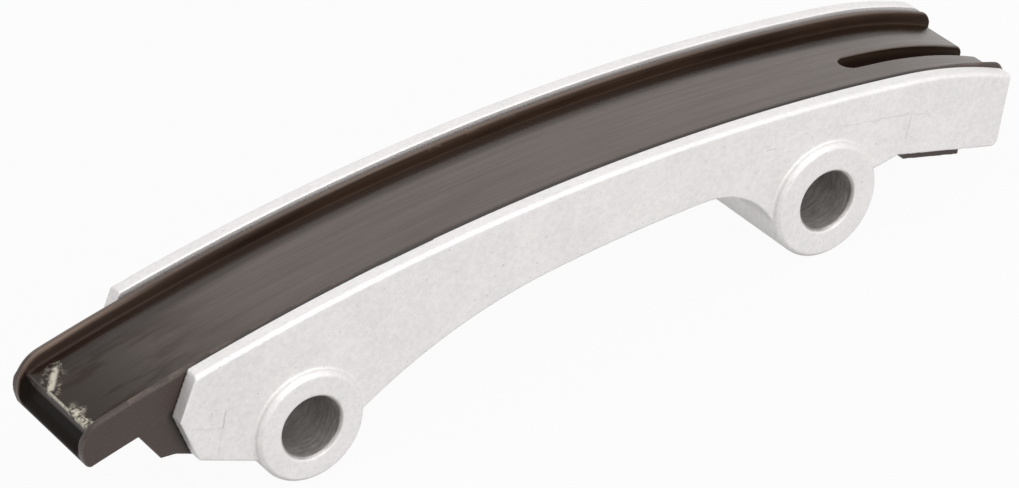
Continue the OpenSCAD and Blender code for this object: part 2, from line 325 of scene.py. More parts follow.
@dataclass(frozen=True)
class CastAluminium:
    """Bright die-cast skin: pale metal with a fine matt grain, small pits, rubbed edges lightened further as
    painted highlights, bores darkened as painted shade, and painted shade on faces that look down.

    Attributes:
        pale: Colour of the lighter skin.
        dull: Colour of the darker skin.
        bright: Colour of rubbed edges, lightened further as a painted highlight.
        pit: Colour in the small pits and the die's lines.
        under: Colour of faces that look down, as painted shade on the undersides.
        drilled: Colour of the bores' walls, darkened as painted shade inside the bores.
        ringed: Colour of the rings that the drill left on them.
        roughness: Roughness of the skin.
        rough_play: How far the roughness varies to each side.
        metal: Share of metal in the shading.
        grain_depth: Depth of the grain, in metres.
        bores: Places of the bores' axes along the guide, in millimetres.
        bore_r: Radius inside which a wall is drilled, in millimetres.
        near_face: Place of the near face across the guide, in millimetres.
        line_half: Half the width of the die's lines, in millimetres.
        die_lines: Faint lines of the die on the near face: both ends in x and z, in millimetres, and strength.
    """

    pale: Colour = (0.865, 0.84, 0.83)
    dull: Colour = (0.75, 0.73, 0.725)
    bright: Colour = (0.90, 0.89, 0.885)
    pit: Colour = (0.60, 0.58, 0.58)
    under: Colour = (0.50, 0.49, 0.465)
    drilled: Colour = (0.37, 0.35, 0.34)
    ringed: Colour = (0.592, 0.56, 0.544)
    roughness: float = 0.52
    rough_play: float = 0.07
    metal: float = 0.5
    grain_depth: float = 0.00004
    bores: Tuple[float, ...] = (0.0, 80.7)
    bore_r: float = 4.4
    near_face: float = -10.6
    line_half: float = 0.13
    die_lines: Tuple[Tuple[float, float, float, float, float], ...] = (
        (-11.2, 7.0, -11.85, 5.0, 0.9),
        (-11.85, 5.0, -13.0, 1.1, 0.3),
        (-16.1, 6.4, -11.9, 4.9, 0.3),
        (80.5, 10.6, 84.5, 9.7, 0.2),
        (84.5, 9.7, 88.8, 8.8, 0.3),
        (88.8, 8.8, 95.2, 7.3, 0.45),
        (95.2, 7.3, 98.9, 5.8, 0.35),
        (95.7, 6.7, 94.7, 3.6, 0.55),
        (71.8, 11.0, 73.2, 10.9, 0.5),
    )

    def material(self) -> bpy.types.Material:
        """Builds the material.

        Returns:
            The new material.
        """
        board = Board.material("cast_aluminium")
        place = board.stretch(board.add("ShaderNodeTexCoord")["Object"], [1.0 / MM] * 3)
        clouds = board.ramp(board.noise(place, 0.16, 2.0), 0.35, 0.65, 0.0, 0.25)
        skin = board.noise(place, 1.5, 4.0, 0.7)
        grain = board.noise(place, 4.5, 2.0, 0.6)
        share = board.sum(Sum.ADD, board.ramp(skin, 0.3, 0.7, 0.0, 0.7), clouds)
        colour = board.blend(share, self.pale, self.dull)
        # Painted shade: faces that look down are darkened towards the under colour.
        up = board.split(board.add("ShaderNodeNewGeometry")["Normal"])[2]
        colour = board.blend(board.ramp(up, -0.8, -0.05, 0.75, 0.0), colour, self.under)
        pits = board.ramp(board.noise(place, 2.4, 1.0), 0.73, 0.80)
        marks = board.any_of(pits, self._lines(board, place))
        colour = board.blend(marks, colour, self.pit)
        # Rubbed edges, lightened further as a painted highlight where the edge note is high.
        edges = board.ramp(board.note(EDGE_NOTE, "Fac"), 0.25, 0.8, 0.0, 0.6)
        colour = board.blend(edges, colour, self.bright)
        # The bores' walls are darkened as painted shade inside the bores, with the drill's lighter rings over
        # it.
        bore, rings = self._bores(board, place)
        colour = board.blend(bore, colour, board.blend(rings, self.drilled, self.ringed))
        rough = board.ramp(skin, 0.3, 0.7, self.roughness - self.rough_play, self.roughness + self.rough_play)
        height = board.sum(Sum.TAKE, grain, board.sum(Sum.TIMES, marks, 0.8))
        return board.finish(board.add("ShaderNodeBsdfPrincipled", {
            "Base Color": colour,
            "Metallic": self.metal,
            "Roughness": board.pick(bore, rough, board.ramp(rings, 0.0, 1.0, 0.34, 0.5)),
            "Normal": board.bump(height, self.grain_depth),
        })[0])

    def _lines(self, board: Board, place: Socket) -> Socket:
        """Gives the mask of the lines that the die left on the near face.

        Args:
            board: The nodes to add to.
            place: The place in the part's frame, in millimetres.

        Returns:
            The mask.
        """
        x, y, z = board.split(place)
        wander = board.noise(place, 0.8, 2.0)
        face = board.flat(x, board.sum(Sum.ADD, z, board.ramp(wander, 0.2, 0.8, -0.25, 0.25)))
        masks = [
            board.sum(Sum.TIMES, board.line(face, (x0, z0), (x1, z1), self.line_half), strength)
            for x0, z0, x1, z1, strength in self.die_lines
        ]
        near = board.below(y, self.near_face - 0.2, self.near_face)
        return board.all_of(board.any_of(*masks), near, board.ramp(wander, 0.3, 0.5, 0.5, 1.0))

    def _bores(self, board: Board, place: Socket) -> Tuple[Socket, Socket]:
        """Gives the masks of the bores' walls and of the rings that the drill left on them.

        Args:
            board: The nodes to add to.
            place: The place in the part's frame, in millimetres.

        Returns:
            The mask of the walls, and the mask of the rings.
        """
        side_view = board.stretch(place, (1.0, 0.0, 1.0))
        gaps = [board.vectors("DISTANCE", side_view, (x, 0.0, 0.0), "Value") for x in self.bores]
        masks = [board.below(gap, self.bore_r, self.bore_r + 0.25) for gap in gaps]
        rings = board.noise(board.stretch(place, (0.5, 2.4, 0.5)), 1.0, 4.0, 0.7)
        return board.any_of(*masks), board.ramp(rings, 0.35, 0.7)


@dataclass(frozen=True)
class WearAndPaintedLight:
    """Where marks of use, painted shade, painted sheen and the painted reflection of the rail begin and end on
    the slipper, in millimetres of the guide's curve.

    A pair is a soft step, from its start to its end, unless the line says otherwise.

    Attributes:
        bead_side: Across the guide, at the bead's outer side.
        bead_level: Level of the painted shade in the gap between the bead and the near wall.
        wall_start: Along the guide, where the near wall starts beside the bead.
        wall_stop: Along the guide, where the painted shade in the gap beside the near wall ends.
        tip: Upper end of the painted shade in the gap at the near wall's point, along and up.
        tip_foot: Lower end of that painted shade, along and up.
        tip_half: Half the width of that painted shade.
        tip_side: Across the guide, to keep that painted shade on the near side.
        painted_sheen_span: Along the guide, where the painted sheen on the running surface sets in.
        stains: Along the guide, where the stains thin out.
        nose_shade_end: Where the painted shade behind the nose ends along the guide.
        mirror: Across the guide, where the painted reflection of the rail, a dark band beside it, starts.
        mirror_shifts: Start and end of steps along the guide, and how much wider the painted reflection is
            before and after.
        mirror_fade: Start and end of a step along the guide, and the painted reflection's strength before and
            after.
        rail_side: Along the guide, where the rail's inner side loses its paler look.
        brow: Along the guide, where the rail's brow stops being rubbed and lightened as a painted highlight.
        crest: Level of the rail's crest, rubbed and lightened as a painted highlight.
        slot_middle: Middle of the slot across the guide.
        slot_half: Half the slot's width.
        slot_floor: Level of the slot's floor.
        scuff_middle: Middle of the scuff's thin part across the guide.
        scuff_half: Half the length of that part.
        scuff_near: Across the guide, where the scuff's broad patch ends.
        limb: Both ends of the scuff's limb, behind the break and across the guide.
        limb_half: Half the limb's width.
        dust_half: Half the width of the dust around the limb.
    """

    bead_side: Pair = (-8.45, -8.15)
    bead_level: Pair = (-0.75, -0.45)
    wall_start: Pair = (-52.0, -50.0)
    wall_stop: Pair = (60.0, 66.0)
    tip: Pair = (-54.4, -5.3)
    tip_foot: Pair = (-53.4, -11.6)
    tip_half: float = 0.7
    tip_side: Pair = (-8.4, -8.0)
    painted_sheen_span: Pair = (-66.0, -30.0)
    stains: Pair = (-62.0, -36.0)
    nose_shade_end: float = -46.0
    mirror: Pair = (3.8, 5.0)
    mirror_shifts: Tuple[Tuple[float, float, float, float], ...] = (
        (-65.0, -30.0, 1.2, 0.0),
        (30.0, 70.0, 0.0, 0.9),
        (74.9, 78.9, 0.0, -2.8),
    )
    mirror_fade: Tuple[float, float, float, float] = (10.0, 60.0, 0.75, 1.0)
    rail_side: Pair = (-62.0, -25.0)
    brow: Pair = (-58.0, -40.0)
    crest: Pair = (0.75, 1.0)
    slot_middle: float = -1.75
    slot_half: float = 1.75
    slot_floor: Pair = (-5.6, -5.2)
    scuff_middle: float = -0.6
    scuff_half: float = 2.3
    scuff_near: Pair = (-3.6, -1.8)
    limb: Tuple[Pair, Pair] = ((0.3, 1.9), (2.5, 4.5))
    limb_half: float = 0.42
    dust_half: float = 1.3


@dataclass(frozen=True)
class WornNylon:
    """Dark brown moulded nylon whose running surface the chain has polished along its length, with painted
    sheen, painted reflection, painted highlights and painted shade.

    Attributes:
        moulded: Colour of the untouched moulding.
        stain_and_painted_shade: Colour of stains, of the grain's darker flecks, of dark streaks where the
            chain never rubs, and of painted shade towards the nose and the painted reflection of the rail
            beside it.
        polished: Colour of the running surface towards the nose.
        painted_sheen: Colour of the running surface towards the forked end, lightened grey as painted sheen.
        streaked: Colour of the darker streaks on the running surface.
        rubbed: Colour of edges that are rubbed pale, lightened further as a painted highlight.
        powder: Colour of the chafed nylon at the break of the nose.
        painted_recess_shade: Colour of painted shade in the hollow of the nose and in the gaps beside the
            carrier.
        brown: Colour of the browner streaks where the chain never rubs.
        ior: Index of refraction.
        shine: How strongly bare nylon mirrors, from 0 to 1.
        darkened: How strongly it mirrors in the stains, in the painted shade towards the nose and in the
            painted reflection beside the rail.
        gloss: How strongly the places mirror that the chain never rubs.
        line_depth: Depth of the chain's lines, in metres.
        grain_depth: Depth of the moulding's grain, in metres.
        run_level: Level of the running surface, in millimetres.
        run_near: Near edge of the running surface across the guide, in millimetres.
        run_far: Far edge of the running surface, in millimetres.
        break_at: Where the running surface breaks off at the nose, along the guide in millimetres.
        lip: Level of the lip under the hollow of the nose, in millimetres.
        fork_at: Where the slot of the forked end starts, along the guide in millimetres.
        marks: Where the marks of use and the painted light lie.
    """

    moulded: Colour = (0.056, 0.037, 0.030)
    stain_and_painted_shade: Colour = (0.022, 0.012, 0.008)
    polished: Colour = (0.041, 0.028, 0.021)
    painted_sheen: Colour = (0.118, 0.090, 0.078)
    streaked: Colour = (0.0448, 0.0296, 0.024)
    rubbed: Colour = (0.23, 0.165, 0.13)
    powder: Colour = (0.66, 0.61, 0.50)
    painted_recess_shade: Colour = (0.009, 0.006, 0.004)
    brown: Colour = (0.043, 0.025, 0.0165)
    ior: float = 1.5
    shine: float = 0.5
    darkened: float = 0.16
    gloss: float = 0.06
    line_depth: float = 0.000014
    grain_depth: float = 0.000016
    run_level: float = -0.6
    run_near: float = -7.6
    run_far: float = 7.2
    break_at: float = -65.0
    lip: float = -4.3
    fork_at: float = 54.0
    marks: WearAndPaintedLight = WearAndPaintedLight()

    def material(self) -> bpy.types.Material:
        """Builds the material.

        Returns:
            The new material.
        """
        board = Board.material("brown_nylon")
        place = GuidePlace.on(board)
        streaks = board.noise(board.stretch(place.whole, (0.035, 2.2, 0.6)), 1.0, 5.0, 0.65)
        grain = board.noise(place.whole, 4.0, 3.0, 0.6)
        run = self._run(board, place)
        stains_and_nose_shade = self._stains_and_nose_shade(board, place)
        painted_rail_reflection = self._painted_rail_reflection(board, place)
        hollow, matt = self._never_rubbed(board, place)
        colour = board.blend(board.ramp(grain, 0.3, 0.7, 0.0, 0.35), self.moulded, self.stain_and_painted_shade)
        # The running surface, with painted sheen, stains, painted shade towards the nose and the painted
        # reflection of the rail.
        colour = board.blend(run, colour, self._surface(board, place, streaks, (stains_and_nose_shade, painted_rail_reflection)))
        # Painted shade in the gaps between the slipper and the near wall.
        colour = board.blend(self._painted_gap_shade(board, place), colour, self.painted_recess_shade)
        # Where the chain never rubs: darker streaks on the rail's side and in the slot, and painted shade in
        # the nose's hollow.
        still = board.blend(board.ramp(streaks, 0.35, 0.65), self.stain_and_painted_shade, self.brown)
        still = board.blend(board.ramp(place.along, *self.marks.rail_side, 0.6, 0.0), still, self.moulded)
        colour = board.blend(matt, colour, board.blend(hollow, still, self.painted_recess_shade))
        # Rubbed edges, crest and brow, lightened further as painted highlights.
        colour = board.blend(self._rubbed_and_painted_highlight(board, place, streaks, grain), colour, self.rubbed)
        colour = board.blend(self._chafed(board, place), colour, self.powder)
        # Lower specular level in the stains, in the painted shade towards the nose and in the painted
        # reflection beside the rail.
        mirrored = board.all_of(painted_rail_reflection, board.ramp(place.along, 20.0, 60.0, 0.4, 0.9))
        darkened_run = board.all_of(run, board.any_of(stains_and_nose_shade, mirrored))
        dull = board.ramp(grain, 0.3, 0.7, 0.40, 0.52)
        sheen = board.ramp(streaks, 0.3, 0.7, 0.17, 0.27)
        sheen = board.sum(Sum.ADD, sheen, board.ramp(painted_rail_reflection, 0.0, 1.0, 0.0, -0.07))
        lines = board.bump(board.all_of(streaks, run), self.line_depth)
        return board.finish(board.add("ShaderNodeBsdfPrincipled", {
            "Base Color": colour,
            "IOR": self.ior,
            "Specular IOR Level": board.pick(matt, board.pick(darkened_run, self.shine, self.darkened), self.gloss),
            "Roughness": board.pick(run, dull, sheen),
            "Normal": board.bump(grain, self.grain_depth, lines),
        })[0])

    def _run(self, board: Board, place: GuidePlace) -> Socket:
        """Gives the mask of the running surface.

        Args:
            board: The nodes to add to.
            place: Where the mask is read.

        Returns:
            The mask.
        """
        return board.all_of(
            board.band(place.level, self.run_level, 0.15, 0.25),
            board.ramp(place.across, self.run_near, self.run_near + 0.3),
            board.below(place.across, self.run_far - 0.3, self.run_far),
            board.ramp(place.along, self.break_at - 0.2, self.break_at + 0.2),
        )

    def _painted_gap_shade(self, board: Board, place: GuidePlace) -> Socket:
        """Gives the mask of painted shade in the gaps between the slipper and the near wall.

        Args:
            board: The nodes to add to.
            place: Where the mask is read.

        Returns:
            The mask.
        """
        marks = self.marks
        beside_wall = board.all_of(
            board.below(place.across, *marks.bead_side),
            board.ramp(place.level, *marks.bead_level),
            board.ramp(place.along, *marks.wall_start),
            board.below(place.along, *marks.wall_stop),
        )
        side_view = board.flat(place.along, place.level)
        at_tip = board.line(side_view, marks.tip, marks.tip_foot, marks.tip_half)
        return board.any_of(beside_wall, board.all_of(at_tip, board.below(place.across, *marks.tip_side)))

    def _stains_and_nose_shade(self, board: Board, place: GuidePlace) -> Socket:
        """Gives the mask of the stains, and of painted shade that darkens the running surface towards the
        nose.

        Args:
            board: The nodes to add to.
            place: Where the mask is read.

        Returns:
            The mask.
        """
        stains = board.noise(board.stretch(place.whole, (0.1, 0.6, 0.5)), 1.0, 4.0, 0.6)
        stains = board.ramp(stains, 0.36, 0.64, 0.0, 0.9)
        # Painted shade: the running surface darkens towards the nose.
        darkened = board.ramp(place.along, self.break_at, self.marks.nose_shade_end, 0.75, 0.0)
        return board.any_of(board.all_of(board.below(place.along, *self.marks.stains), stains), darkened)

    def _painted_rail_reflection(self, board: Board, place: GuidePlace) -> Socket:
        """Gives the mask of the painted reflection of the rail: a dark, glossy band beside it.

        Args:
            board: The nodes to add to.
            place: Where the mask is read.

        Returns:
            The mask.
        """
        beside = place.across
        for shift in self.marks.mirror_shifts:
            beside = board.sum(Sum.ADD, beside, board.ramp(place.along, *shift))
        return board.all_of(
            board.ramp(beside, *self.marks.mirror), board.ramp(place.along, *self.marks.mirror_fade)
        )

    def _surface(self, board: Board, place: GuidePlace, streaks: Socket, darkenings: Sequence[Socket]) -> Socket:
        """Gives the colour of the running surface, with a painted sheen that lightens it towards the forked
        end.

        Args:
            board: The nodes to add to.
            place: Where the colour is read.
            streaks: The pattern of the chain's streaks.
            darkenings: Masks of stains, of painted shade towards the nose and of the painted reflection of the
                rail, which darken the surface.

        Returns:
            The colour.
        """
        # Painted sheen: the running surface turns lighter and greyer towards the forked end.
        colour = board.blend(board.ramp(place.along, *self.marks.painted_sheen_span), self.polished, self.painted_sheen)
        clouds = board.noise(board.stretch(place.whole, (0.08, 0.3, 0.3)), 1.0, 3.0)
        clouds = board.ramp(clouds, 0.35, 0.65, 0.0, 0.15)
        shade = board.sum(Sum.ADD, board.ramp(streaks, 0.3, 0.7, 0.0, 0.4), clouds)
        colour = board.blend(shade, colour, self.streaked)
        # Stains, painted shade towards the nose and the painted reflection of the rail darken the surface.
        for darkened in darkenings:
            colour = board.blend(darkened, colour, self.stain_and_painted_shade)
        return colour

    def _rubbed_and_painted_highlight(self, board: Board, place: GuidePlace, streaks: Socket, grain: Socket) -> Socket:
        """Gives the mask of edges that are rubbed pale and lightened as painted highlights, with the rail's
        crest and brow.

        Args:
            board: The nodes to add to.
            place: Where the mask is read.
            streaks: The pattern of the chain's streaks.
            grain: The moulding's grain.

        Returns:
            The mask.
        """
        crest = board.all_of(
            board.ramp(place.level, *self.marks.crest),
            board.ramp(place.across, self.run_far - 0.2, self.run_far),
            board.ramp(streaks, 0.3, 0.6, 0.1, 0.4),
        )
        brow = board.all_of(
            board.band(place.across, self.run_far + 0.3, 0.1, 0.15),
            board.below(place.along, *self.marks.brow),
            board.ramp(streaks, 0.3, 0.6, 0.4, 0.9),
        )
        edges = board.ramp(board.note(EDGE_NOTE, "Fac"), 0.2, 0.7)
        worn = board.all_of(edges, board.ramp(grain, 0.3, 0.6, 0.4, 0.85))
        return board.any_of(worn, crest, brow)

    def _never_rubbed(self, board: Board, place: GuidePlace) -> Tuple[Socket, Socket]:
        """Gives the masks of what the chain never rubs: the nose's hollow, which takes painted shade, the
        rail's side and the slot.

        Args:
            board: The nodes to add to.
            place: Where the masks are read.

        Returns:
            The mask of the nose's hollow, and the mask of all these places.
        """
        along, across, level = place.along, place.across, place.level
        nose = board.below(along, self.break_at - 0.35, self.break_at - 0.05)
        hollow = board.all_of(
            nose,
            board.ramp(level, self.lip - 0.5, self.lip - 0.2),
            board.ramp(across, self.run_near + 0.05, self.run_near + 0.25),
            board.below(across, self.run_far - 0.1, self.run_far + 0.2),
        )
        rail = board.all_of(
            board.ramp(across, self.run_far - 0.45, self.run_far - 0.2),
            board.below(across, self.run_far + 0.25, self.run_far + 0.55),
            board.any_of(nose, board.ramp(level, self.run_level - 0.3, self.run_level - 0.1)),
        )
        slot = board.all_of(
            board.band(across, self.marks.slot_middle, self.marks.slot_half, 0.2),
            board.ramp(along, self.fork_at - 0.5, self.fork_at),
            board.below(level, self.run_level - 0.3, self.run_level - 0.08),
            board.ramp(level, *self.marks.slot_floor),
        )
        return hollow, board.any_of(hollow, rail, slot)

    def _chafed(self, board: Board, place: GuidePlace) -> Socket:
        """Gives the mask of the chafed, powdery nylon along the break of the nose.

        Args:
            board: The nodes to add to.
            place: Where the mask is read.

        Returns:
            The mask.
        """
        marks = self.marks
        flakes = board.noise(place.whole, 1.3, 5.0, 0.75)
        wander = board.ramp(board.noise(place.whole, 0.45, 3.0, 0.6), 0.25, 0.75, -0.55, 0.55)
        back = board.sum(Sum.ADD, place.along, wander)
        aside = board.sum(Sum.ADD, place.across, wander)
        thin = board.all_of(
            board.band(place.along, self.break_at + 0.05, 0.05, 0.2),
            board.band(place.across, marks.scuff_middle, marks.scuff_half, 0.5),
            board.ramp(flakes, 0.36, 0.56, 0.3, 0.85),
        )
        patch = board.all_of(
            board.band(back, self.break_at + 0.55, 0.3, 0.9),
            board.below(aside, *marks.scuff_near),
            board.ramp(flakes, 0.42, 0.58, 0.0, 0.95),
        )
        plan = board.flat(back, aside)
        ends = [(self.break_at + behind, across) for behind, across in marks.limb]
        limb = board.ramp(flakes, 0.34, 0.54, 0.15, 0.95)
        limb = board.all_of(board.line(plan, *ends, marks.limb_half), limb)
        dust = board.ramp(flakes, 0.5, 0.66, 0.0, 0.5)
        dust = board.all_of(board.line(plan, *ends, marks.dust_half), dust)
        top = board.ramp(place.level, self.run_level - 0.8, self.run_level - 0.4)
        inside = board.ramp(place.across, self.run_near, self.run_near + 0.4)
        return board.all_of(board.any_of(thin, patch, limb, dust), top, inside)


@dataclass(frozen=True)
class StudioPaper:
    """White paper under the guide, bright to the camera and in reflections, and still holding a soft shadow.

    Attributes:
        white: Colour of the paper.
        glow: Share of plain white that the camera and reflections see.
    """

    white: Colour = (0.5, 0.5, 0.5)
    glow: float = 0.95

    def material(self) -> bpy.types.Material:
        """Builds the material.

        Returns:
            The new material.
        """
        board = Board.material("studio_paper")
        share = board.sum(Sum.TIMES, board.seen_directly(), self.glow)
        diffuse = board.add("ShaderNodeBsdfDiffuse", {"Color": (*self.white, 1.0)})[0]
        light = board.add("ShaderNodeEmission", {"Color": PLAIN_WHITE})[0]
        return board.finish(board.add("ShaderNodeMixShader", {0: share, 1: diffuse, 2: light})[0])


def read(items: bpy.types.bpy_prop_collection, name: str, width: int, kind: type = np.float64) -> np.ndarray:
    """Reads numbers from the points, edges or triangles of a mesh.

    Args:
        items: The points, edges or triangles.
        name: Which of their properties is read.
        width: How many numbers each of them has.
        kind: The kind of number.

    Returns:
        The numbers, one item per row.
    """
    numbers = np.empty(len(items) * width, kind)
    items.foreach_get(name, numbers)
    return numbers.reshape(-1, width)


def neighbour_sums(ends: np.ndarray, values: np.ndarray) -> np.ndarray:
    """Adds up a value over the neighbours of each point.

    Args:
        ends: The two point numbers of each edge, one edge per row.
        values: One value per point.

    Returns:
        One sum per point.
    """
    a, b = ends.T
    return np.bincount(a, values[b], len(values)) + np.bincount(b, values[a], len(values))


def soft_step(value: np.ndarray, start: float, end: float) -> np.ndarray:
    """Gives 0 before a start, 1 after an end and a smooth rise between, in either direction."""
    share = np.clip((value - start) / (end - start), 0.0, 1.0)
    return share * share * (3.0 - 2.0 * share)


def put(name: str, data: bpy.types.ID) -> bpy.types.Object:
    """Puts a new object into the scene.

    Args:
        name: Its name.
        data: Its mesh, lamp or camera.

    Returns:
        The object.
    """
    thing = bpy.data.objects.new(name, data)
    bpy.context.scene.collection.objects.link(thing)
    return thing


@dataclass
class SoftEdges:
    """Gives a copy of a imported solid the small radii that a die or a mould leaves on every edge.

    The copy is laid out straight along the curve while its edges are rounded, so that long edges stay even.

    Attributes:
        voxel: Size of the grid that the copy is made on, in metres.
        passes: Number of smoothing passes.
        triangles: Number of triangles that are kept.
        longest: Longest edge of the laid-out copy, in millimetres.
        level_slack: Change of level below which an edge may follow the curve, in millimetres.
        shallow: Level above which an edge may follow the curve, in millimetres.
        halvings: How often an edge may be halved.
        edge_full: How far a point stands out on a full edge, as a share of the distance to its neighbours.
        steps: Shares of one smoothing step in and one step out.
        digits: Decimal places of a metre to which points that meet are the same.
        curve: The curve that the part follows.
    """

    voxel: float
    passes: int
    triangles: int
    longest: float = 2.0
    level_slack: float = 6.0
    shallow: float = -7.0
    halvings: int = 12
    edge_full: float = 0.3
    steps: Pair = (0.5, -0.52)
    digits: int = 7
    curve: GuideCurve = field(default_factory=GuideCurve)

    def copy(self, node: str, name: str, carve: Optional[Carving] = None) -> bpy.types.Object:
        """Makes the copy.

        Args:
            node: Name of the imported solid.
            name: Name of the new piece.
            carve: Moves points while the copy is laid out straight.

        Returns:
            The new piece, in the scene.
        """
        piece = put(name, self._lay_out(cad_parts[node], name))
        grid = piece.modifiers.new("grid", "REMESH")
        grid.mode = "VOXEL"
        grid.voxel_size = self.voxel
        self._settle(piece)
        places = self._smooth(piece.data) / MM
        self._move(piece.data, self.curve.bend(carve(places) if carve else places))
        share = self.triangles / (2.0 * len(piece.data.polygons))
        if share < 1.0:
            fewer = piece.modifiers.new("fewer", "DECIMATE")
            fewer.ratio = share
            self._settle(piece)
        low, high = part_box(node)
        self._move(piece.data, np.clip(read(piece.data.vertices, "co", 3), np.array(low), np.array(high)))
        piece.data.shade_smooth()
        self._note_edges(piece.data)
        return piece

    @staticmethod
    def _move(mesh: bpy.types.Mesh, points: np.ndarray) -> None:
        """Puts the points of a mesh at new places."""
        mesh.vertices.foreach_set("co", points.ravel())
        mesh.update()

    def _finer(self, places: np.ndarray, faces: np.ndarray) -> Tuple[np.ndarray, np.ndarray]:
        """Halves the long edges of triangles until none is longer than the longest allowed.

        A shallow edge that keeps its level follows the curve. Any other edge is straight in the part's frame.

        Args:
            places: The corners in the curve's own measures, one per row.
            faces: Three corner numbers per triangle.

        Returns:
            The new corners and triangles.
        """
        for _ in range(self.halvings):
            pairs = np.sort(np.stack([faces, np.roll(faces, -1, axis=1)], axis=2), axis=2).reshape(-1, 2)
            edges, own = np.unique(pairs, axis=0, return_inverse=True)
            span = places[edges[:, 1]] - places[edges[:, 0]]
            long = np.linalg.norm(span, axis=1) > self.longest
            if not long.any():
                break
            new = np.full(len(edges), -1)
            new[long] = len(places) + np.arange(long.sum())
            ends = places[edges[long]]
            straight = self.curve.place((self.curve.bend(ends[:, 0]) + self.curve.bend(ends[:, 1])) / 2.0)
            follows = (np.abs(span[long, 2]) < self.level_slack) & (ends[:, :, 2].mean(axis=1) > self.shallow)
            places = np.vstack([places, np.where(follows[:, None], ends.mean(axis=1), straight)])
            faces = self._halve(faces, new[own.ravel()].reshape(-1, 3))
        return places, faces

    @staticmethod
    def _halve(faces: np.ndarray, middle: np.ndarray) -> np.ndarray:
        """Splits triangles at the middles of their edges.

        Args:
            faces: Three corner numbers per triangle.
            middle: The number of the point in the middle of each edge, or -1 where an edge stays whole.

        Returns:
            The new triangles.
        """
        parts = [faces[(middle < 0).all(axis=1)]]
        for turn in range(3):
            a, b, c = np.roll(faces, -turn, axis=1).T
            p, q, r = np.roll(middle, -turn, axis=1).T
            one = (p >= 0) & (q < 0) & (r < 0)
            two = (p >= 0) & (q >= 0) & (r < 0)
            parts += [np.stack(t, axis=1)[one] for t in ((a, p, c), (p, b, c))]
            parts += [np.stack(t, axis=1)[two] for t in ((a, p, c), (p, q, c), (p, b, q))]
        every = (middle >= 0).all(axis=1)
        f, m = faces[every], middle[every]
        parts += [np.stack([f[:, i], m[:, i], m[:, i - 1]], axis=1) for i in range(3)] + [m]
        return np.vstack(parts)

    def _lay_out(self, solid: bpy.types.Object, name: str) -> bpy.types.Mesh:
        """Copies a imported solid's faces, split finely and laid out straight along the curve.

        Args:
            solid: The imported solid.
            name: Name of the new mesh.

        Returns:
            The new mesh.
        """
        solid.data.calc_loop_triangles()
        corner_numbers = read(solid.data.loop_triangles, "vertices", 3, np.int64)
        rounded = np.round(read(solid.data.vertices, "co", 3), self.digits)
        points, number = np.unique(rounded, axis=0, return_inverse=True)
        faces = number.ravel()[corner_numbers]
        whole = (faces != np.roll(faces, 1, axis=1)).all(axis=1)
        places, faces = self._finer(self.curve.place(points), faces[whole])
        mesh = bpy.data.meshes.new(name)
        mesh.from_pydata((places * MM).tolist(), [], faces.tolist())
        return mesh

    def _note_edges(self, mesh: bpy.types.Mesh) -> None:
        """Notes on each point how far it stands out from its neighbours, from 0 on flats to 1 on edges.

        Args:
            mesh: The mesh whose points get the note.
        """
        points, out = read(mesh.vertices, "co", 3), read(mesh.vertices, "normal", 3)
        ends = read(mesh.edges, "vertices", 2, np.int64)
        a, b = ends.T
        count = len(points)
        step = points[b] - points[a]
        step /= np.maximum(np.linalg.norm(step, axis=1), 1e-9)[:, None]
        fall = np.bincount(a, -(step * out[a]).sum(1), count) + np.bincount(b, (step * out[b]).sum(1), count)
        near = np.maximum(np.bincount(ends.ravel(), minlength=count), 1)
        stand = neighbour_sums(ends, fall / near) / near
        note = mesh.attributes.new(EDGE_NOTE, "FLOAT", "POINT")
        note.data.foreach_set("value", np.clip(stand / self.edge_full, 0.0, 1.0).astype(np.float32))

    @staticmethod
    def _settle(piece: bpy.types.Object) -> None:
        """Replaces a piece's mesh by what its modifiers make of it.

        Args:
            piece: The piece.
        """
        bpy.context.view_layer.update()
        made = piece.evaluated_get(bpy.context.evaluated_depsgraph_get())
        mesh = bpy.data.meshes.new_from_object(made)
        old = piece.data
        piece.modifiers.clear()
        piece.data = mesh
        bpy.data.meshes.remove(old)

    def _smooth(self, mesh: bpy.types.Mesh) -> np.ndarray:
        """Rounds the edges of a mesh and keeps its size, by steps in and out.

        Args:
            mesh: The mesh.

        Returns:
            Its new points, one per row.
        """
        points = read(mesh.vertices, "co", 3)
        ends = read(mesh.edges, "vertices", 2, np.int64)
        near = np.bincount(ends.ravel(), minlength=len(points))[:, None]
        for step in self.steps * self.passes:
            sums = np.stack([neighbour_sums(ends, axis) for axis in points.T], axis=1)
            points = points + step * (sums / near - points)
        return points


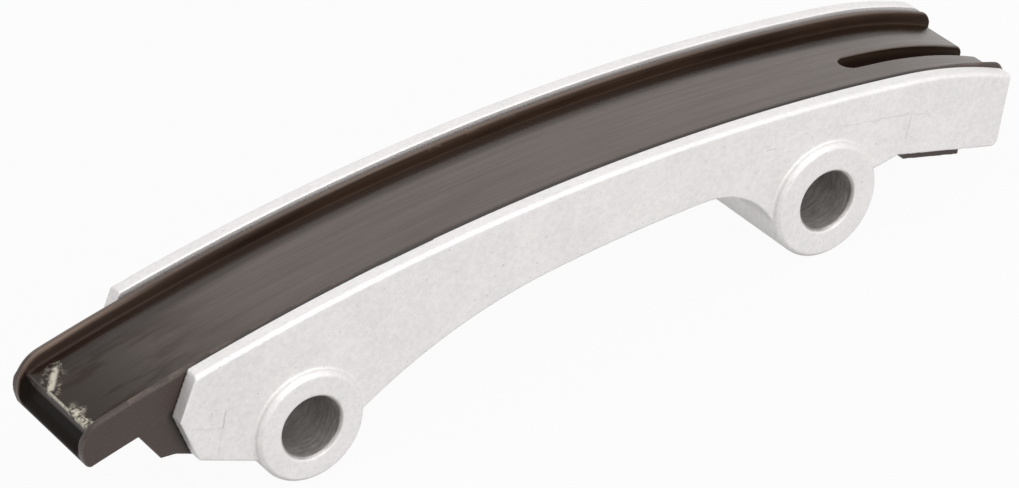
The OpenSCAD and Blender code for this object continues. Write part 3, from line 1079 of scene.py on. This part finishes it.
@dataclass(frozen=True)
class RoundedTop:
    """The round top of a strip or the round upper edge of a wall, which runs along the guide.

    Attributes:
        middle: Place of the rounding's middle across the guide, in millimetres.
        level: Level of the rounding's middle, in millimetres.
        radius: Radius of the rounding, in millimetres.
        side: -1 or 1 for an edge that looks to the near or far side, and 0 for a strip's whole top.
        start: Where it starts along the guide, in millimetres.
        flat: Width of a wall's flat top beside the rounding, in millimetres.
        low: Where a strip's free sides start, from the rounding's middle, in millimetres.
        fall_r: Radius of the side view in which a strip falls over the nose, or 0 where it keeps its level.
        lift: How far a strip rises at the right end, in millimetres.
        lift_run: Length of that rise, in millimetres.
        end_r: Radius of the side view at the right end, in millimetres.
        front: Front of the nose along the guide, in millimetres.
        slack: How far beside a strip a point may be and still belong to it, in millimetres.
        upper: Level above which the last point marks the right end, in millimetres.
        eases: Lengths over which the rounding sets in at its start and ends at the right, in millimetres.
        least: Shortest reach from the rounding's middle that is scaled, in millimetres.
    """

    middle: float
    level: float
    radius: float
    side: int
    start: float
    flat: float = 0.0
    low: float = 0.0
    fall_r: float = 0.0
    lift: float = 0.0
    lift_run: float = 5.0
    end_r: float = 0.0
    front: float = -67.2
    slack: float = 0.45
    upper: float = -1.0
    eases: Pair = (1.0, 0.4)
    least: float = 0.05

    def true(self, places: np.ndarray) -> np.ndarray:
        """Moves the points of the rounding onto it.

        Args:
            places: Points in the curve's own measures, one per row.

        Returns:
            The points, with those of the rounding on it.
        """
        along, across, level = places.T
        stop = along[level > self.upper].max()
        off = across - self.middle
        before = np.clip(self.front + self.fall_r - along, 0.0, self.fall_r)
        past = np.clip(along - stop + self.end_r, 0.0, self.end_r)
        centre = self.level - self.fall_r + np.sqrt(self.fall_r ** 2 - before ** 2)
        centre += self.lift * np.clip(1.0 + (along - stop) / self.lift_run, 0.0, 1.0)
        centre += np.sqrt(self.end_r ** 2 - past ** 2) - self.end_r
        up = level - centre
        if self.side:
            out = off * self.side
            mine = (out > 0.0) & (up > 0.0)
            top = (out <= 0.0) & (out > -self.flat) & (up > self.radius - self.slack)
        else:
            mine = (up > self.low) & (np.abs(off) < self.radius + self.slack)
            top = np.zeros(len(along), bool)
        reach = np.maximum(np.hypot(off, np.maximum(up, 0.0)), self.least)
        ease_in, ease_out = self.eases
        run = soft_step(along, self.start, self.start + ease_in) * soft_step(along, stop, stop - ease_out)
        grow = 1.0 + mine * run * (self.radius / reach - 1.0)
        height = np.where(up > 0.0, centre + up * grow, level)
        height = height + top * run * (centre + self.radius - height)
        return np.stack([along, self.middle + off * grow, height], axis=1)


@dataclass
class Carrier:
    """The die-cast carrier: one casting with walls, floor, arch and two bored bosses.

    Attributes:
        edges: How its edges are rounded.
        finish: Its surface.
        roundings: Round upper edges of its two walls.
        wall_ends: Side and radius of each wall's top at the right end, in millimetres.
        wall_from: Place across the guide beyond which a point belongs to a wall, in millimetres.
        piece: The casting, once it is built.
    """

    edges: SoftEdges = field(default_factory=lambda: SoftEdges(0.00016, 3, 195000))
    finish: CastAluminium = field(default_factory=CastAluminium)
    roundings: Tuple[RoundedTop, ...] = (
        RoundedTop(-10.4, -0.6, 0.6, -1, -51.0, flat=1.35),
        RoundedTop(10.4, 0.8, 0.6, 1, -48.0, flat=1.35),
    )
    wall_ends: Tuple[Tuple[int, float], ...] = ((1, 5.0), (-1, 0.9))
    wall_from: float = 8.0
    piece: Optional[bpy.types.Object] = None

    def build(self) -> None:
        """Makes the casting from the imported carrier."""
        self.piece = self.edges.copy("carrier", "carrier_casting", self._true)
        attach(self.piece, BODY)
        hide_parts("carrier")

    def _true(self, places: np.ndarray) -> np.ndarray:
        """Trues the walls' long roundings and rounds the walls off at the right end.

        Args:
            places: Points in the curve's own measures, one per row.

        Returns:
            The points with those of the walls' tops moved.
        """
        for rounding in self.roundings:
            places = rounding.true(places)
        along, across, level = places.T
        for side, r in self.wall_ends:
            wall = across * side > self.wall_from
            past = np.clip(along - (along[wall].max() - r), 0.0, r)
            top = level[wall].max() - r + np.sqrt(r * r - past * past)
            level = np.where(wall, np.minimum(level, top), level)
        return np.stack([along, across, level], axis=1)

    def dress(self) -> None:
        """Gives the casting its skin."""
        self.piece.data.materials.clear()
        self.piece.data.materials.append(self.finish.material())


@dataclass
class Slipper:
    """The moulded slipper: running surface, rail, bead, nose, hook, fork and clips in one piece.

    Attributes:
        edges: How its edges are rounded.
        finish: Its surface.
        strips: Round tops of the rail and the bead.
        pocket: Depth of the hollow in the nose's front, in millimetres.
        top_rim: Shares of the way down to the lip over which the hollow sets in.
        lip_rim: Shares of the way down to the lip over which it ends.
        side_rim: Distances from its sides over which it sets in, in millimetres.
        front_slack: How far behind the break a point may be and still belong to the front, in millimetres.
        piece: The moulding, once it is built.
    """

    edges: SoftEdges = field(default_factory=lambda: SoftEdges(0.00014, 3, 195000))
    finish: WornNylon = field(default_factory=WornNylon)
    strips: Tuple[RoundedTop, ...] = (
        RoundedTop(7.95, 0.3, 0.75, 0, -66.6, low=-0.65, fall_r=4.85, end_r=1.5),
        RoundedTop(-8.15, -0.55, 0.55, 0, -66.6, low=0.05, fall_r=3.8, lift=0.65, lift_run=12.0, end_r=1.6),
    )
    pocket: float = 0.8
    top_rim: Pair = (0.05, 0.35)
    lip_rim: Pair = (1.0, 0.7)
    side_rim: Pair = (0.1, 1.1)
    front_slack: float = 0.1
    piece: Optional[bpy.types.Object] = None

    def build(self) -> None:
        """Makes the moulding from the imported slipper."""
        self.piece = self.edges.copy("slipper", "slipper_moulding", self._hollow)
        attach(self.piece, BODY)
        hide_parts("slipper")

    def _hollow(self, places: np.ndarray) -> np.ndarray:
        """Trues the rail and the bead and hollows the nose's front between the rail, the cheek and the lip.

        Args:
            places: Points in the curve's own measures, one per row.

        Returns:
            The points with those of the strips and of the nose's front moved.
        """
        for strip in self.strips:
            places = strip.true(places)
        along, across, level = places.T
        look = self.finish
        down = (look.run_level - level) / (look.run_level - look.lip)
        share = soft_step(down, *self.top_rim) * soft_step(down, *self.lip_rim)
        for edge, way in ((look.run_near, 1.0), (look.run_far, -1.0)):
            share *= soft_step(across, *(edge + way * rim for rim in self.side_rim))
        share *= along < look.break_at + self.front_slack
        return np.stack([along + self.pocket * share, across, level], axis=1)

    def dress(self) -> None:
        """Lays the curve's own directions over the moulding and gives it its surface."""
        mesh = self.piece.data
        places = self.edges.curve.place(read(mesh.vertices, "co", 3))
        space = mesh.attributes.new(GUIDE_SPACE, "FLOAT_VECTOR", "POINT")
        space.data.foreach_set("vector", places.astype(np.float32).ravel())
        mesh.materials.clear()
        mesh.materials.append(self.finish.material())


@dataclass(frozen=True)
class SoftPanel:
    """A large square lamp panel that faces the guide.

    Attributes:
        side: Where it stands.
        distance: Its distance from the middle of the guide, in metres.
        size: Length of its sides, in metres.
        watts: Its power.
    """

    side: Side
    distance: float
    size: float
    watts: float

    def hang(self, aim: Vector) -> bpy.types.Object:
        """Puts the panel into the scene.

        Args:
            aim: The point that it faces.

        Returns:
            The lamp.
        """
        lamp = bpy.data.lights.new(f"panel_{self.side.name.lower()}", "AREA")
        lamp.shape = "SQUARE"
        lamp.size = self.size
        lamp.energy = self.watts
        holder = put(lamp.name, lamp)
        way = Vector(self.side.value).normalized()
        holder.location = aim + way * self.distance
        holder.rotation_euler = way.to_track_quat("Z", "Y").to_euler()
        return holder


@dataclass
class Studio:
    """The white studio: paper, panels, pale surroundings and the camera.

    Attributes:
        floor_z: Height of the paper, under the lower boss, in metres.
        floor_half: Half the length of the paper's sides, in metres.
        fill: Strength of the surroundings' light on surfaces.
        panels: The lamp panels.
        lens: Focal length, in millimetres.
        sensor: Width of the picture that the focal length is for, in millimetres.
        clip: Nearest and farthest distance that the camera sees, in metres.
        eye: Place of the camera, in metres.
        right: The picture's right, as a direction.
        up: The picture's up, as a direction.
        paper: Surface of the floor.
    """

    floor_z: float = -0.0083
    floor_half: float = 3.0
    fill: float = 0.55
    panels: Tuple[SoftPanel, ...] = (
        SoftPanel(Side.ABOVE, 1.2, 1.4, 6.0),
        SoftPanel(Side.FRONT, 1.4, 1.2, 7.0),
    )
    lens: float = 151.332
    sensor: float = 36.0
    clip: Pair = (0.01, 20.0)
    eye: Tuple[float, float, float] = (-0.206886, -0.39029, 0.312855)
    right: Tuple[float, float, float] = (0.824594, -0.562836, -0.057097)
    up: Tuple[float, float, float] = (0.352867, 0.432822, 0.829548)
    paper: StudioPaper = field(default_factory=StudioPaper)

    def build(self, aim: Vector) -> None:
        """Sets the whole studio up.

        Args:
            aim: Middle of the guide, which the panels face.
        """
        self._floor()
        self._surroundings()
        for panel in self.panels:
            panel.hang(aim)
        self._camera()
        bpy.context.scene.view_settings.view_transform = "Standard"

    def _floor(self) -> None:
        """Lays the paper."""
        h = self.floor_half
        plan = ((-h, -h), (h, -h), (h, h), (-h, h))
        mesh = bpy.data.meshes.new("paper")
        mesh.from_pydata([(x, y, self.floor_z) for x, y in plan], [], [(0, 1, 2, 3)])
        mesh.materials.append(self.paper.material())
        paper = put("paper", mesh)
        paper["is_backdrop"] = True

    def _surroundings(self) -> None:
        """Makes the surroundings white to the camera and a plain soft light on surfaces."""
        bpy.context.scene.world = bpy.data.worlds.new("white_room")
        board = Board(bpy.context.scene.world)
        strength = board.ramp(board.seen_directly(), 0.0, 1.0, self.fill, 1.0)
        light = board.add("ShaderNodeBackground", {"Color": PLAIN_WHITE, "Strength": strength})[0]
        board.finish(light, "ShaderNodeOutputWorld")

    def _camera(self) -> None:
        """Puts the camera where the photograph was taken from."""
        lens = bpy.data.cameras.new("camera")
        lens.lens = self.lens
        lens.sensor_width = self.sensor
        lens.sensor_fit = "HORIZONTAL"
        lens.clip_start, lens.clip_end = self.clip
        camera = put("camera", lens)
        right, up = Vector(self.right).normalized(), Vector(self.up).normalized()
        back = right.cross(up)
        turn = Matrix((right, up, back)).transposed().to_4x4()
        camera.matrix_world = Matrix.Translation(Vector(self.eye)) @ turn
        bpy.context.scene.camera = camera


def main() -> None:
    """Builds the pieces and the studio in order, reports each piece and aims the panels at the middle of the
    imported parts' box.
    """
    logging.basicConfig(level=logging.INFO, format="%(name)s: %(message)s")
    solid_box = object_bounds()
    pieces = (Carrier(), Slipper())
    for part in pieces:
        part.build()
        part.dress()
        log.info("%s has %d faces", part.piece.name, len(part.piece.data.polygons))
    low, high = solid_box
    Studio().build((Vector(low) + Vector(high)) / 2.0)


if __name__ == "__main__":
    main()
